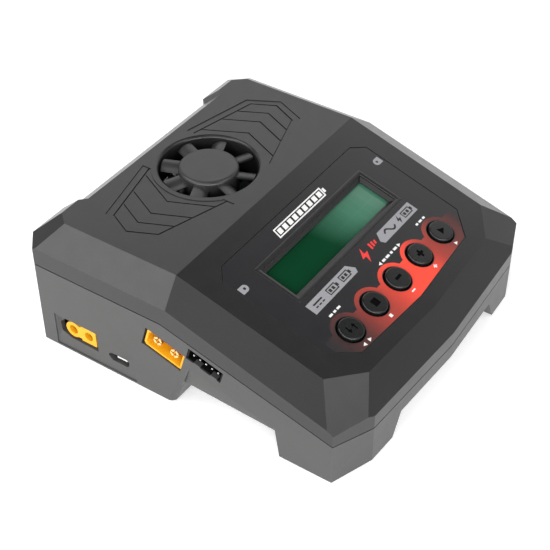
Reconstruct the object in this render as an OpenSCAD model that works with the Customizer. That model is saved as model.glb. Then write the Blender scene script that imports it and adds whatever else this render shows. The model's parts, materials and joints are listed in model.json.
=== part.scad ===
// Two-channel balance battery charger: a sloped desk unit with a cooling fan,
// a two-line display, five push buttons and battery sockets on both sides.
// Millimetres. +X is the user's right, +Y the back, +Z up. Origin: middle of the footprint.

/* [Housing] */
// overall width
body_w = 128; // [110:1:150]
// overall height at the rear deck
body_h = 49.6; // [42:0.2:60]
// depth from the bowed front to the back wall
body_l = 135.2; // [120:0.2:150]
// wall thickness of both shells
wall = 2.2; // [1.6:0.1:3]
// how far the bottom shell is held off the table by its pads
pad_h = 0.6; // [0.4:0.1:1.5]
// downward slope of the control panel in degrees
panel_slope = 16.3; // [8:0.1:25]
// front edge of the flat rear deck, measured along Y
ridge_y = 7.6; // [0:0.1:15]
// height of the parting line at the rear
split_z = 35.3; // [30:0.1:40]
// slope of the parting line in front of the ridge, in degrees
split_slope = 14.9; // [8:0.1:20]
// visible gap between the two shells
split_gap = 0.5; // [0.2:0.1:1]
// height of the side skirt's top edge at the rear
skirt_z = 42.6; // [38:0.1:46]

/* [Underside] */
// height of the belly over the table
belly_z = 12; // [8:0.5:16]
// height of the arch in the front wall
front_arch_z = 9.7; // [6:0.1:14]
// corner radius of the rear pod
pod_r = 2.5; // [2:0.5:8]

/* [Fan] */
// radius of the air opening in the deck
fan_open_r = 18; // [16:0.1:20]
// side of the square fan frame
fan_size = 40; // [38:0.5:44]
// radius of the hub cap
hub_r = 11; // [9:0.1:13]
// radius over the blade tips
blade_tip_r = 17.4; // [15:0.1:17.6]
// number of blades
blade_count = 8; // [5:1:11]

/* [Panel] */
// key cap diameter
key_d = 9.2; // [8:0.1:12]
// how far the keys stand out of the panel
key_out = 0.9; // [0.8:0.1:3]
// distance between neighbouring keys
key_pitch = 15.15; // [13:0.05:17]
// running gap around each key
key_gap = 0.55; // [0.3:0.05:0.6]
// key travel
key_travel = 0.8; // [0.3:0.1:1.5]
// width of the display window
window_w = 60.4; // [50:0.2:66]
// height of the display window
window_h = 12.8; // [10:0.2:16]

/* [Sockets] */
// pitch of the two power contacts
power_pitch = 7.2; // [7:0.1:7.4]
// radius of a power contact pin
power_pin_r = 1.75; // [1.7:0.01:1.8]
// pitch of the balance header pins
balance_pitch = 2.5; // [2:0.1:2.54]
// number of pins in a balance header
balance_pins = 5; // [4:1:7]

/* [Hidden] */
$fn = 64;

// ---- outline of the housing ----
half_w = body_w / 2;
back_y = body_l / 2;
front_y = -body_l / 2;
deck_x = half_w - 9.9;
deck_back_y = back_y - 7.8;
back_cut_x = 6.8;
back_cut_y = 5.5;
// front corner facet: top edge and skirt edge
nose_a = [-53.4, -48.8, 33.1];
nose_b = [-40.2, -57.8, 30.5];
nose_low = [-56.2, -62.4, 22.4];
side_low = [-half_w, -59.4, 23.2];
bow_low = [-24.15, -66.45, 21.3];
wall_a = [-half_w, -59.4, 0];
wall_b = [-48.3, -65.3, 0];
wall_c = [0, front_y, 0];
// a point well inside the housing, used to turn face normals outwards
core = [0, 0, 20];

function unit(v) = v / norm(v);
function outward(p, n) = n * (p - core) > 0 ? [p, n] : [p, -n];
function face(a, b, c) = outward(a, unit(cross(b - a, c - a)));
function flip(f) = [[-f[0][0], f[0][1], f[0][2]], [-f[1][0], f[1][1], f[1][2]]];

side_faces = [
    // side chamfer beside the deck
    face([-deck_x, ridge_y, body_h], [-deck_x, deck_back_y, body_h],
         [-half_w, deck_back_y, skirt_z]),
    // side chamfer beside the panel
    face([-deck_x, ridge_y, body_h], nose_a, side_low),
    // chamfer of the rear corner
    face([-deck_x, back_y - 12.5, body_h], [-50, deck_back_y, body_h],
         [-60.6, back_y - 2.75, skirt_z]),
    // facet of the front corner
    face(nose_a, nose_b, nose_low),
    // sloping front facet
    face(nose_b, [0, -59.9, 29.8], bow_low),
    // upright walls
    [[-half_w, 0, 0], [-1, 0, 0]],
    face([-half_w, back_y - back_cut_y, 0], [-half_w + back_cut_x, back_y, 0],
         [-half_w + back_cut_x, back_y, 9]),
    face(wall_a, wall_b, wall_b + [0, 0, 9]),
    face(wall_b, wall_c, wall_c + [0, 0, 9])];
middle_faces = [
    [[0, 0, body_h], [0, 0, 1]],
    [[0, ridge_y, body_h], [0, -sin(panel_slope), cos(panel_slope)]],
    [[0, back_y, 0], [0, 1, 0]],
    face([0, deck_back_y, body_h], [9, deck_back_y, body_h], [0, back_y, skirt_z])];
FACES = concat(middle_faces, side_faces, [for (f = side_faces) flip(f)]);

// recess between the two rear corner pillars
notch_x = 38.9;
notch_d = 2.4;
notch_rise = body_h - skirt_z;
notch_run = back_y - deck_back_y;
// flared end of the recess, below and above the skirt edge
notch_low = [[notch_x, back_y - notch_d, 0], unit([1, -1, 0])];
notch_high = [[notch_x, deck_back_y - notch_d, body_h],
              unit([notch_rise, -notch_rise, -notch_run])];

// arch under the side wall
crease_a = [-half_w, -3.7, 21.4];
crease_b = [-half_w, -37.4, 12.5];
crease_in = [-half_w + 1.3, -3.7, belly_z];
pod_foot_y = 4.4;
pod_top_y = -3.7;
pod_top_z = 21.4;
pod_lean = atan2(pod_foot_y - pod_top_y, pod_top_z);
// lines that bound a front foot: towards the back, and towards the middle
foot_rear = [[-50, -39.3, 0], unit([0, 12.5, -1.9])];
foot_inner = [[-36.4, -60, 0], unit([9, 0, -4.5])];

// housing screws, x and y of the left pair
post_rear = [-54, 57];
post_front = [-54.5, -51.5];
post_r = 4.2;
screw_r = 1.5;
head_r = 2.75;
rear_head_z = 24;
front_head_z = 11;

// panel frame: origin on the ridge, +Y up the slope, +Z out of the panel
overlay_drop = 0.5;
overlay_t = 0.3;
overlay_gap = 0.15;
overlay_edge = [[-40.2, -8.2], [40.2, -8.2], [45.4, -12.5], [44.7, -53.4],
                [35.2, -62.5], [0, -64.7], [-35.2, -62.5], [-44.7, -53.4],
                [-45.4, -12.5]];
window_y = -26.4;
bevel_w = 3;
key_y = -54.5;
key_r = key_d / 2;
key_round = 0.6;
board_top = -13.15;
board_t = 1.6;
lcd_top = -wall - 0.15;
lcd_frame_h = 4.6;
main_post = [[-50, -9], [50, -9], [-50, -56.5], [50, -56.5]];

// sockets, in the panel frame: y and z of the contact axis
output_y = -7.7;
output_z = -24.3;
balance_y = -23.4;
balance_z = -17.65;
socket_w = 15.9;
socket_h = 8.1;
socket_d = 16;
socket_recess = 0.6;
header_w = balance_pitch * (balance_pins - 1) + 4.9;
header_h = 5.75;
header_d = 9;
header_gap = 0.05;
header_ribs = [-4.4, 2.6];
pin_recess = 1;
pin_drop = 0.3;

// rear sockets, in the housing frame
dc_y = 45.1;
dc_z = 10.7;
dc_pitch = 6.9;
dc_r = 3.35;
dc_recess = 0.95;
dc_mouth = 3;
usb_y = 27.8;
usb_z = 7.7;
ac_y = 41.4;
ac_z = 15;
ac_pitch = 8.6;
ac_pin_r = 1.2;
ac_root_r = 1;
ac_pocket = 0.9;
proud = 0.3;
power_board_z = 5.6;
power_top = power_board_z + board_t;
power_post = [[-44, 18], [44, 18], [-30, 57], [30, 57]];

// grooves beside the fan: apex x, apex y, reach to the back, reach to the front
chevrons = [[-39.7, 35.2, 10.9, 11.8], [-33.3, 34.6, 13.2, 13.5], [-25, 34, 16, 15.8]];
groove_w = 0.6;
band_drop = 0.3;
groove_drop = 0.7;

// fan
fan_y = 34.3;
fan_h = 10;
fan_top = body_h - wall;
fan_bottom = fan_top - fan_h;
fan_hole = 16;
hub_round = 1.4;
hub_bottom = fan_bottom + 2.4;
blade_top = body_h - 1.5;
shaft_r = 0.75;

// ---- helpers ----
module beyond(f, inset) {
    n = f[1];
    translate(f[0] - n * inset)
        rotate([0, acos(n[2]), atan2(n[1], n[0])])
            translate([-160, -160, 0])
                cube([320, 320, 160]);
}

module along_x(w) {
    rotate([90, 0, 90])
        linear_extrude(w, center = true)
            children();
}

module on_panel() {
    translate([0, ridge_y, body_h])
        rotate([panel_slope, 0, 0])
            children();
}

module both_sides() {
    children();
    mirror([1, 0, 0])
        children();
}

// the side sockets are drawn looking at the left wall: x to the back, y up, z outwards
module left_wall(y, z) {
    translate([-half_w, y, z])
        rotate([90, 0, -90])
            mirror([1, 0, 0])
                children();
}

module rounded_box(w, l, h, r) {
    linear_extrude(h)
        rounded_plan(w, l, r);
}

module rounded_plan(w, l, r) {
    square([w - 2 * r, l], center = true);
    square([w, l - 2 * r], center = true);
    for (x = [-1, 1], y = [-1, 1])
        translate([x * (w / 2 - r), y * (l / 2 - r)])
            circle(r = r);
}

// recess in the back, grown by t all round
module notch(t) {
    n = unit([notch_rise, notch_run]);
    wall_y = back_y - notch_d - t;
    reach = n * [deck_back_y - notch_d, body_h] - t;
    difference() {
        along_x(110)
            polygon([[wall_y, -9], [wall_y, (reach - n[0] * wall_y) / n[1]],
                     [(reach - n[1] * 70) / n[0], 70], [90, 70], [90, -9]]);
        both_sides()
            intersection() {
                beyond(notch_low, -t);
                beyond(notch_high, -t);
            }
    }
}

module body(t) {
    difference() {
        translate([-half_w - 1, front_y - 1, pad_h])
            cube([body_w + 2, body_l + 2, body_h]);
        for (f = FACES)
            beyond(f, t);
        notch(t);
    }
}

module above_split(dz) {
    low = split_z - (ridge_y + 90) * tan(split_slope);
    along_x(200)
        polygon([[-90, low + dz], [ridge_y, split_z + dz], [90, split_z + dz],
                 [90, 90], [-90, 90]]);
}

module below_split(dz) {
    low = split_z - (ridge_y + 90) * tan(split_slope);
    along_x(200)
        polygon([[-90, low + dz], [ridge_y, split_z + dz], [90, split_z + dz],
                 [90, -9], [-90, -9]]);
}

// block that a front foot is cut from
module foot_block(t) {
    difference() {
        translate([-90, -90, 0])
            cube([90 - 20, 60, 40]);
        beyond(foot_rear, t);
        beyond(foot_inner, t);
    }
}

// space under the belly, between the pod and the front wall
module belly_space() {
    y_at_belly = pod_foot_y - belly_z * tan(pod_lean);
    difference() {
        union() {
            along_x(200)
                polygon([[pod_foot_y + 2 * tan(pod_lean), -2], [y_at_belly, belly_z],
                         [front_y + 5, belly_z], [front_y + 5, -2]]);
            along_x(200)
                polygon([[front_y - 5, -2], [front_y + 6, -2],
                         [front_y + 6, front_arch_z], [front_y - 5, front_arch_z]]);
        }
        both_sides()
            foot_block(0);
    }
}

// facet that tucks the side wall in over the arch
module tuck() {
    intersection() {
        beyond(face(crease_a, crease_b, crease_in), 0);
        along_x(200)
            polygon([[pod_foot_y, 0], [pod_top_y, pod_top_z], [-37.4, 12.5],
                     [-39.3, 0]]);
    }
}

// rounds the pod's front corner, up to the belly
module pod_round() {
    translate([-half_w, pod_foot_y, 0])
        rotate([pod_lean, 0, 0])
            translate([0, 0, -4])
                difference() {
                    translate([-1, -1, 0])
                        cube([pod_r + 0.9, pod_r + 0.9, 4 + (belly_z - 1) / cos(pod_lean)]);
                    translate([pod_r - 0.04, pod_r - 0.04, -1])
                        cylinder(r = pod_r, h = 60);
                }
}

module bottom_cavity() {
    floor_z = pad_h + wall;
    difference() {
        body(wall);
        difference() {
            along_x(200)
                polygon([[90, -9], [90, floor_z], [pod_foot_y + 1.9, floor_z],
                         [pod_foot_y + 2.6 - 15 * tan(pod_lean), belly_z + wall],
                         [-90, belly_z + wall], [-90, -9]]);
            difference() {
                both_sides()
                    foot_block(wall);
                translate([-100, -100, -1])
                    cube([200, 200, floor_z + 1]);
            }
        }
    }
}

module post_plan() {
    both_sides() {
        translate([post_rear[0], post_rear[1], 0])
            children(0);
        translate([post_front[0], post_front[1], 0])
            children(1);
    }
}

module output_mouth(extra) {
    w = socket_w / 2 + extra;
    h = socket_h / 2 + extra;
    polygon([[-w, -h], [w - 1, -h], [w, -h + 1], [w, h - 1], [w - 1, h], [-w, h]]);
}

// places a side socket in the panel frame: x up the slope, y out of the panel, z outwards
module side_socket(y, z) {
    on_panel()
        left_wall(y, z)
            children();
}

// contour of the low-voltage input: one round end, one square end
module dc_plan(grow) {
    translate([dc_pitch / 2, 0])
        circle(r = dc_r + grow);
    square([dc_pitch, 2 * (dc_r - 0.75 + grow)], center = true);
    translate([-dc_pitch / 2, 0])
        square(2 * (dc_r + grow), center = true);
}

module ac_plan(r) {
    translate([-ac_pitch / 2, 0])
        circle(r = r);
    translate([ac_pitch / 2, 0])
        circle(r = r);
    square([ac_pitch, 2 * r * 0.82], center = true);
}

module socket_openings() {
    // low-voltage input with its clipped rear corners
    left_wall(dc_y, dc_z)
        translate([0, 0, -wall - 1])
            linear_extrude(wall + 3)
                polygon([[-8, -4.2], [4.2, -3.9], [8.3, -2.1], [8.65, 1.9],
                         [6.2, 4.2], [-8, 4.2]]);
    // small data port
    left_wall(usb_y, usb_z)
        translate([0, 0, -wall - 1])
            linear_extrude(wall + 3)
                polygon([[-4.5, -0.8], [-3.3, -1.7], [3.1, -1.6], [4.5, 0], [4.5, 0.9],
                         [3.1, 1.7], [-3.6, 1.7], [-4.5, 0.9]]);
    // battery sockets on both sides
    both_sides() {
        side_socket(output_y, output_z)
            translate([0.25, 0, -wall - 1])
                linear_extrude(wall + 3)
                    square([socket_w + 0.8, socket_h + 0.3], center = true);
        side_socket(balance_y, balance_z)
            translate([0, 0, -wall - 1])
                linear_extrude(wall + 3)
                    difference() {
                        square([header_w - 0.5, header_h - 0.5], center = true);
                        // two ribs between the slots of the header
                        for (x = header_ribs)
                            translate([x - 1.3, -header_h / 2 - 1])
                                square([2.6, 1.75]);
                    }
    }
    // mains inlet on the right
    mirror([1, 0, 0])
        left_wall(ac_y, ac_z)
            translate([0, 0, -wall - 1])
                linear_extrude(wall + 3)
                    rounded_plan(22.3, 13.3, 3.15);
    mirror([1, 0, 0])
        left_wall(ac_y, ac_z)
            translate([0, 0, -ac_pocket])
                rounded_box(24.8, 15.8, 3, 4.15);
}

// sunk field beside the fan, with a groove along its rim and across it
module relief_side() {
    band = [[-13, 53.8], [-42.1, 47.1], [-48.3, 35.6], [-42.9, 23.1], [-13, 13.5]];
    rim = [[-13, 51.2], [-41.1, 44.6], [-45.7, 35.5], [-40.8, 25.1], [-13, 16.5]];
    field = [[-13, 50.6], [-40.8, 44.1], [-45, 35.5], [-40.4, 25.6], [-13, 17.1]];
    difference() {
        union() {
            translate([0, 0, body_h - band_drop])
                linear_extrude(2)
                    polygon(band);
            translate([0, 0, body_h - groove_drop])
                linear_extrude(2)
                    difference() {
                        polygon(rim);
                        polygon(field);
                    }
            for (c = chevrons)
                translate([c[0], c[1], body_h - groove_drop])
                    linear_extrude(2)
                        polygon([[c[2] * 0.5, c[2]], [0, 0],
                                 [c[3] * 0.445, -c[3]], [c[3] * 0.445 + groove_w, -c[3]],
                                 [groove_w, 0], [c[2] * 0.5 + groove_w, c[2]]]);
        }
        translate([0, fan_y, body_h - 3])
            cylinder(r = fan_open_r + 2.6, h = 9);
    }
}

// ---- housing ----
module top_shell() {
    color([0.2, 0.2, 0.21])
    difference() {
        union() {
            difference() {
                intersection() {
                    body(0);
                    above_split(split_gap / 2);
                }
                body(wall);
                intersection() {
                    body(wall / 2);
                    below_split(1.7);
                }
            }
            // posts for the housing screws
            intersection() {
                body(wall / 2);
                above_split(split_gap / 2);
                post_plan() {
                    cylinder(r = 3.6, h = 60);
                    cylinder(r = 3.6, h = 60);
                }
            }
            // posts for the main board and the fan
            intersection() {
                body(wall / 2);
                on_panel()
                    for (p = main_post)
                        translate([p[0], p[1], board_top])
                            cylinder(r = 2.6, h = 20);
            }
        }
        // air opening with its rounded lip
        translate([0, fan_y, body_h - 10])
            cylinder(r = fan_open_r, h = 20);
        translate([0, fan_y, body_h])
            rotate_extrude()
                difference() {
                    translate([0, -1.3])
                        square([fan_open_r + 1.3, 3]);
                    translate([fan_open_r + 1.3, -1.3])
                        circle(r = 1.3);
                }
        both_sides()
            relief_side();
        // screw pilots
        post_plan() {
            cylinder(r = screw_r + 0.02, h = 44);
            cylinder(r = screw_r + 0.02, h = 27);
        }
        on_panel()
            for (p = main_post)
                translate([p[0], p[1], board_top - 1])
                    cylinder(r = 1.02, h = 8);
        for (x = [-1, 1], y = [-1, 1])
            translate([x * fan_hole, fan_y + y * fan_hole, fan_top - 1])
                cylinder(r = 1.22, h = 2);
        on_panel() {
            // recess for the overlay
            translate([0, 0, -overlay_drop])
                linear_extrude(9)
                    polygon(overlay_edge);
            for (i = [-2 : 2])
                translate([i * key_pitch, key_y, -9])
                    cylinder(r = key_r + key_gap, h = 18);
            window_cut();
        }
    }
}

// display window with bevelled sides
module window_cut() {
    drop = 1.9;
    translate([-window_w / 2, window_y - window_h / 2, -9])
        cube([window_w, window_h, 18]);
    difference() {
        translate([-window_w / 2 - bevel_w - 3, window_y - window_h / 2 - bevel_w - 3,
                   -drop])
            cube([window_w + 2 * bevel_w + 6, window_h + 2 * bevel_w + 6, 9]);
        for (s = [-1, 1]) {
            beyond([[s * window_w / 2, window_y, -drop],
                    unit([s * drop, 0, -bevel_w])], 0);
            beyond([[0, window_y + s * window_h / 2, -drop],
                    unit([0, s * drop, -bevel_w])], 0);
        }
    }
}

module bottom_shell() {
    color([0.24, 0.24, 0.245])
    difference() {
        union() {
            difference() {
                intersection() {
                    body(0);
                    below_split(-split_gap / 2);
                }
                belly_space();
                both_sides() {
                    tuck();
                    pod_round();
                }
                bottom_cavity();
            }
            // inner lip that closes the parting gap
            difference() {
                intersection() {
                    body(wall / 2 + 0.15);
                    below_split(1.4);
                    above_split(-4);
                }
                body(wall);
            }
            // posts for the housing screws
            intersection() {
                body(wall / 2);
                below_split(-split_gap / 2);
                post_plan() {
                    cylinder(r = post_r, h = 60);
                    cylinder(r = post_r, h = 60);
                }
            }
            // posts for the power board
            for (p = power_post)
                translate([p[0], p[1], pad_h + 1])
                    cylinder(r = 3, h = power_board_z - pad_h - 1);
        }
        socket_openings();
        post_plan() {
            union() {
                translate([0, 0, -1])
                    cylinder(r = head_r + 0.35, h = rear_head_z + 1);
                cylinder(r = screw_r + 0.2, h = 60);
            }
            union() {
                translate([0, 0, -1])
                    cylinder(r = head_r + 0.35, h = front_head_z + 1);
                cylinder(r = screw_r + 0.2, h = 60);
            }
        }
        for (p = power_post)
            translate([p[0], p[1], 2.8])
                cylinder(r = 1.02, h = 9);
        // shallow panel around the input sockets
        translate([-half_w - 1, 20.2, pad_h + 0.7])
            cube([1.35, 35.9, 14.2]);
        // exhaust slots in the back wall
        for (i = [-6 : 6])
            translate([i * 5.2 - 1.1, back_y - notch_d - wall - 2, 12])
                cube([2.2, 9, 16]);
        // seats of the rubber pads
        pad_places()
            translate([0, 0, -1])
                cylinder(r = 4.1, h = pad_h + 1.6);
    }
}

module pad_places() {
    for (x = [-1, 1]) {
        translate([x * 40, 59, 0])
            children();
        translate([x * 44.5, -58, 0])
            children();
    }
}

module rubber_feet() {
    color([0.05, 0.05, 0.05])
    pad_places()
        cylinder(r = 4, h = pad_h + 0.6);
}

module screw(len, r, hr) {
    difference() {
        union() {
            cylinder(r = r, h = len);
            translate([0, 0, -2])
                cylinder(r = hr, h = 2);
        }
        for (a = [0, 90])
            rotate([0, 0, a])
                translate([-hr * 0.6, -0.25, -2.5])
                    cube([hr * 1.2, 0.5, 1.5]);
    }
}

module housing_screws() {
    color([0.6, 0.6, 0.62])
    post_plan() {
        translate([0, 0, rear_head_z])
            screw(18, screw_r, head_r);
        translate([0, 0, front_head_z])
            screw(14, screw_r, head_r);
    }
}

// ---- control panel ----
// direction from an overlay corner towards the middle of the film
function overlay_inward(p) = [-sign(p[0]), p[1] < -40 ? 1 : -1];

module overlay_panel() {
    color([0.1, 0.1, 0.11])
    on_panel()
        difference() {
            translate([0, 0, -overlay_drop])
                linear_extrude(overlay_t)
                    polygon([for (p = overlay_edge) p + overlay_gap * overlay_inward(p)]);
            translate([0, window_y, -2])
                linear_extrude(4)
                    square([window_w + 2 * bevel_w * 0.76, window_h + 2 * bevel_w * 0.76],
                           center = true);
            for (i = [-2 : 2])
                translate([i * key_pitch, key_y, -2])
                    cylinder(r = key_r + key_gap + 0.1, h = 4);
        }
}

module lcd_glass() {
    color([0.2, 0.45, 0.3])
    on_panel()
        translate([-34, window_y - 9, lcd_top - 1.5])
            cube([68, 18, 1.1]);
}

module lcd_frame() {
    color([0.08, 0.08, 0.08])
    on_panel()
        difference() {
            translate([-35.6, window_y - 12.5, lcd_top - lcd_frame_h])
                cube([71.2, 25, lcd_frame_h]);
            translate([-32.2, window_y - 8, lcd_top - 1])
                cube([64.4, 16, 3]);
            translate([-34.1, window_y - 9.1, lcd_top - 1.6])
                cube([68.2, 18.2, 1.25]);
            translate([-34.4, window_y - 11.3, lcd_top - lcd_frame_h - 1])
                cube([68.8, 22.6, 3.4]);
        }
}

module lcd_board() {
    color([0.1, 0.35, 0.2])
    on_panel()
        difference() {
            union() {
                translate([-40, window_y - 18, lcd_top - lcd_frame_h - board_t])
                    cube([80, 36, board_t]);
                // light guide under the glass
                translate([-34, window_y - 10.8, lcd_top - lcd_frame_h - 0.1])
                    cube([68, 21.6, 2.2]);
            }
            for (x = [-1, 1], y = [-1, 1])
                translate([x * 37.5, window_y + y * 15.5, -20])
                    cylinder(r = 1.25, h = 20);
        }
}

module lcd_header_pins() {
    color([0.85, 0.7, 0.3])
    on_panel() {
        translate([-20.3, window_y + 14.3, board_top])
            cube([40.6, 2.4, 2.4]);
        for (i = [0 : 15])
            translate([-19.05 + i * 2.54 - 0.32, window_y + 15.18, board_top + 2.3])
                cube([0.64, 0.64, lcd_top - lcd_frame_h - board_t - board_top - 2.3]);
    }
}

// one key: cap, skirt that keeps it under the panel, and a stem
module key(i) {
    color([0.06, 0.06, 0.065])
    on_panel()
        translate([i * key_pitch, key_y, 0])
            difference() {
                union() {
                    rotate_extrude()
                        difference() {
                            union() {
                                translate([0, -3.4])
                                    square([key_r, 3.4 + key_out - key_round]);
                                square([key_r - key_round, key_out]);
                                translate([key_r - key_round, key_out - key_round])
                                    circle(r = key_round);
                                translate([0, -3.7])
                                    square([key_r + 0.8, 0.9]);
                            }
                            translate([-9, -9])
                                square([9, 20]);
                            translate([0, -9])
                                square([key_r - 1.3, 8.4]);
                        }
                    translate([0, 0, -6.5])
                        cylinder(r = 2.7, h = 6.4);
                }
                translate([0, 0, -8])
                    cylinder(r = 1.72, h = 5.6);
                translate([0, 0, key_out - 0.3])
                    linear_extrude(1)
                        children();
            }
}

module plunger(i) {
    color([0.15, 0.15, 0.15])
    on_panel()
        translate([i * key_pitch, key_y, -10.6])
            cylinder(r = 1.7, h = 8);
}

module key_select() {
    key(-2)
        for (s = [-1, 1])
            translate([s * 1.4, -s * 0.3])
                rotate([0, 0, s > 0 ? 0 : 180])
                    polygon([[-0.35, -1.4], [0.35, -1.4], [0.35, 0.3], [1.1, 0.3],
                             [0, 1.6], [-1.1, 0.3], [-0.35, 0.3]]);
}

module key_stop() {
    key(-1)
        square([3, 3], center = true);
}

module key_down() {
    key(0)
        square([3.2, 1.1], center = true);
}

module key_up() {
    key(1) {
        square([3.2, 1.1], center = true);
        square([1.1, 3.2], center = true);
    }
}

module key_start() {
    key(2)
        polygon([[-1.1, -1.6], [1.7, 0], [-1.1, 1.6]]);
}

module plunger_select() {
    plunger(-2);
}

module plunger_stop() {
    plunger(-1);
}

module plunger_down() {
    plunger(0);
}

module plunger_up() {
    plunger(1);
}

module plunger_start() {
    plunger(2);
}

module tact_switches() {
    color([0.12, 0.12, 0.12])
    on_panel()
        for (i = [-2 : 2])
            translate([i * key_pitch, key_y, board_top])
                difference() {
                    translate([-3, -3, 0])
                        cube([6, 6, 3.4]);
                    translate([0, 0, 0.6])
                        cylinder(r = 1.78, h = 4);
                }
}

// ---- main board under the panel ----
module main_board() {
    color([0.08, 0.3, 0.18])
    on_panel()
        difference() {
            translate([-57.5, -60, board_top - board_t])
                cube([115, 56.5, board_t]);
            for (p = main_post)
                translate([p[0], p[1], board_top - 5])
                    cylinder(r = 1.3, h = 9);
        }
}

module board_chips() {
    color([0.1, 0.1, 0.1])
    on_panel() {
        low = board_top - board_t;
        // processor and charge controllers, underneath
        translate([-7, -40, low - 1.4])
            cube([14, 14, 1.4]);
        for (s = [-1, 1]) {
            translate([s * 26 - 4, -38, low - 1.2])
                cube([8, 5, 1.2]);
            translate([s * 26 - 4, -28, low - 1.2])
                cube([8, 5, 1.2]);
            translate([s * 38 - 3, -45, low - 2])
                cube([6, 6, 2]);
        }
        // crystal
        translate([10, -38, low - 3.5])
            cube([4.6, 11, 3.5]);
    }
}

module buzzer() {
    color([0.07, 0.07, 0.07])
    on_panel()
        translate([24, -16, board_top - board_t - 6.5])
            difference() {
                cylinder(r = 5.5, h = 6.5);
                translate([0, 0, -1])
                    cylinder(r = 1, h = 4);
            }
}

// ---- battery sockets on the sides ----
module balance_body() {
    side_socket(balance_y, balance_z)
        translate([0, 0, -wall - header_gap - header_d])
            difference() {
                union() {
                    translate([-header_w / 2, -header_h / 2, 0])
                        cube([header_w, header_h, header_d]);
                    // collar that fills the opening in the wall
                    translate([-header_w / 2 + 0.3, -header_h / 2 + 0.3, header_d - 1])
                        cube([header_w - 0.6, header_h - 0.6, wall + 0.75]);
                }
                translate([-header_w / 2 + 0.9, -header_h / 2 + 0.75, 1.6])
                    cube([header_w - 1.8, header_h - 1.5, header_d + wall]);
                // polarising slots in the lower wall
                for (x = header_ribs)
                    translate([x - 1.4, -header_h / 2 - 1, header_d - 4])
                        cube([2.8, 1.9, 9]);
                for (i = [0 : balance_pins - 1])
                    translate([(i - (balance_pins - 1) / 2) * balance_pitch - 0.34,
                               -0.34 - pin_drop, -1])
                        cube([0.68, 0.68, 4]);
            }
}

module balance_socket_left() {
    color([0.06, 0.06, 0.06])
    balance_body();
}

module balance_socket_right() {
    color([0.06, 0.06, 0.06])
    mirror([1, 0, 0])
        balance_body();
}

module balance_socket_pins() {
    leg = board_top - board_t - balance_z + 0.32 + pin_drop;
    back = wall + header_gap + header_d + 1;
    color([0.8, 0.8, 0.78])
    both_sides()
        side_socket(balance_y, balance_z)
            for (i = [0 : balance_pins - 1])
                translate([(i - (balance_pins - 1) / 2) * balance_pitch - 0.32,
                           -0.32 - pin_drop, -back]) {
                    cube([0.64, 0.64, back - pin_recess]);
                    cube([0.64, leg, 0.64]);
                }
}

module output_body() {
    side_socket(output_y, output_z)
        difference() {
            translate([0, 0, -socket_d])
                linear_extrude(socket_d - socket_recess)
                    output_mouth(0);
            translate([0, 0, -10])
                linear_extrude(20)
                    output_mouth(-0.8);
            for (s = [-1, 1])
                translate([s * power_pitch / 2, 0, -20])
                    cylinder(r = power_pin_r + 0.35, h = 20);
        }
}

module output_socket_left() {
    color([0.98, 0.7, 0.1])
    output_body();
}

module output_socket_right() {
    color([0.98, 0.7, 0.1])
    mirror([1, 0, 0])
        output_body();
}

module output_pin_pair() {
    side_socket(output_y, output_z)
        for (s = [-1, 1])
            translate([s * power_pitch / 2, 0, 0])
                difference() {
                    union() {
                        translate([0, 0, -10])
                            cylinder(r = power_pin_r, h = 8.6);
                        translate([0, 0, -20])
                            cylinder(r = power_pin_r + 0.3, h = 10);
                    }
                    // split spring tip
                    translate([-3, -0.2, -4.6])
                        cube([6, 0.4, 9]);
                    translate([-0.2, -3, -4.6])
                        cube([0.4, 6, 9]);
                    translate([0, 0, -4.6])
                        cylinder(r = 0.8, h = 9);
                    // solder cup
                    translate([0, 0, -21])
                        cylinder(r = 1.3, h = 5);
                }
}

module output_pins_left() {
    color([0.9, 0.75, 0.35])
    output_pin_pair();
}

module output_pins_right() {
    color([0.9, 0.75, 0.35])
    mirror([1, 0, 0])
        output_pin_pair();
}

// wire from a solder cup, bent up to the main board
module output_lead(s) {
    bend = 3;
    side_socket(output_y, output_z)
        translate([s * power_pitch / 2, 0, -17]) {
            translate([0, 0, -5])
                cylinder(r = 1.1, h = 5);
            translate([0, bend, -5])
                rotate([0, 90, 0])
                    rotate([0, 0, -90])
                        rotate_extrude(angle = 90)
                            translate([bend, 0])
                                circle(r = 1.1);
            translate([0, bend, -5 - bend])
                rotate([-90, 0, 0])
                    cylinder(r = 1.1, h = -output_z + board_top - board_t - bend);
        }
}

module output_leads_red() {
    color([0.75, 0.05, 0.05])
    both_sides()
        output_lead(1);
}

module output_leads_black() {
    color([0.05, 0.05, 0.05])
    both_sides()
        output_lead(-1);
}

// ---- rear sockets ----
module dc_socket() {
    color([0.98, 0.7, 0.1])
    left_wall(dc_y, dc_z)
        difference() {
            translate([0, 0, -socket_d])
                linear_extrude(socket_d - dc_recess)
                    dc_plan(0);
            for (s = [-1, 1])
                translate([s * dc_pitch / 2, 0, -20]) {
                    cylinder(r = power_pin_r + 0.1, h = 30);
                    cylinder(r = power_pin_r + 0.4, h = 20 - dc_mouth);
                }
        }
}

module dc_contacts() {
    color([0.9, 0.75, 0.35])
    left_wall(dc_y, dc_z)
        for (s = [-1, 1])
            translate([s * dc_pitch / 2, 0, -18])
                difference() {
                    union() {
                        cylinder(r = power_pin_r + 0.35, h = 17.8 - dc_mouth);
                        // leg down to the power board
                        translate([-0.8, power_top - dc_z, -1])
                            cube([1.6, dc_z - power_top, 1.6]);
                    }
                    translate([0, 0, 4])
                        cylinder(r = power_pin_r + 0.03, h = 20);
                }
}

module usb_shell() {
    color([0.75, 0.75, 0.77])
    left_wall(usb_y, usb_z)
        difference() {
            translate([-3.7, -1.4, -7.5])
                cube([7.4, 2.8, 5.2]);
            translate([-3.4, -1.1, -7])
                cube([6.8, 2.2, 9]);
        }
}

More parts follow.
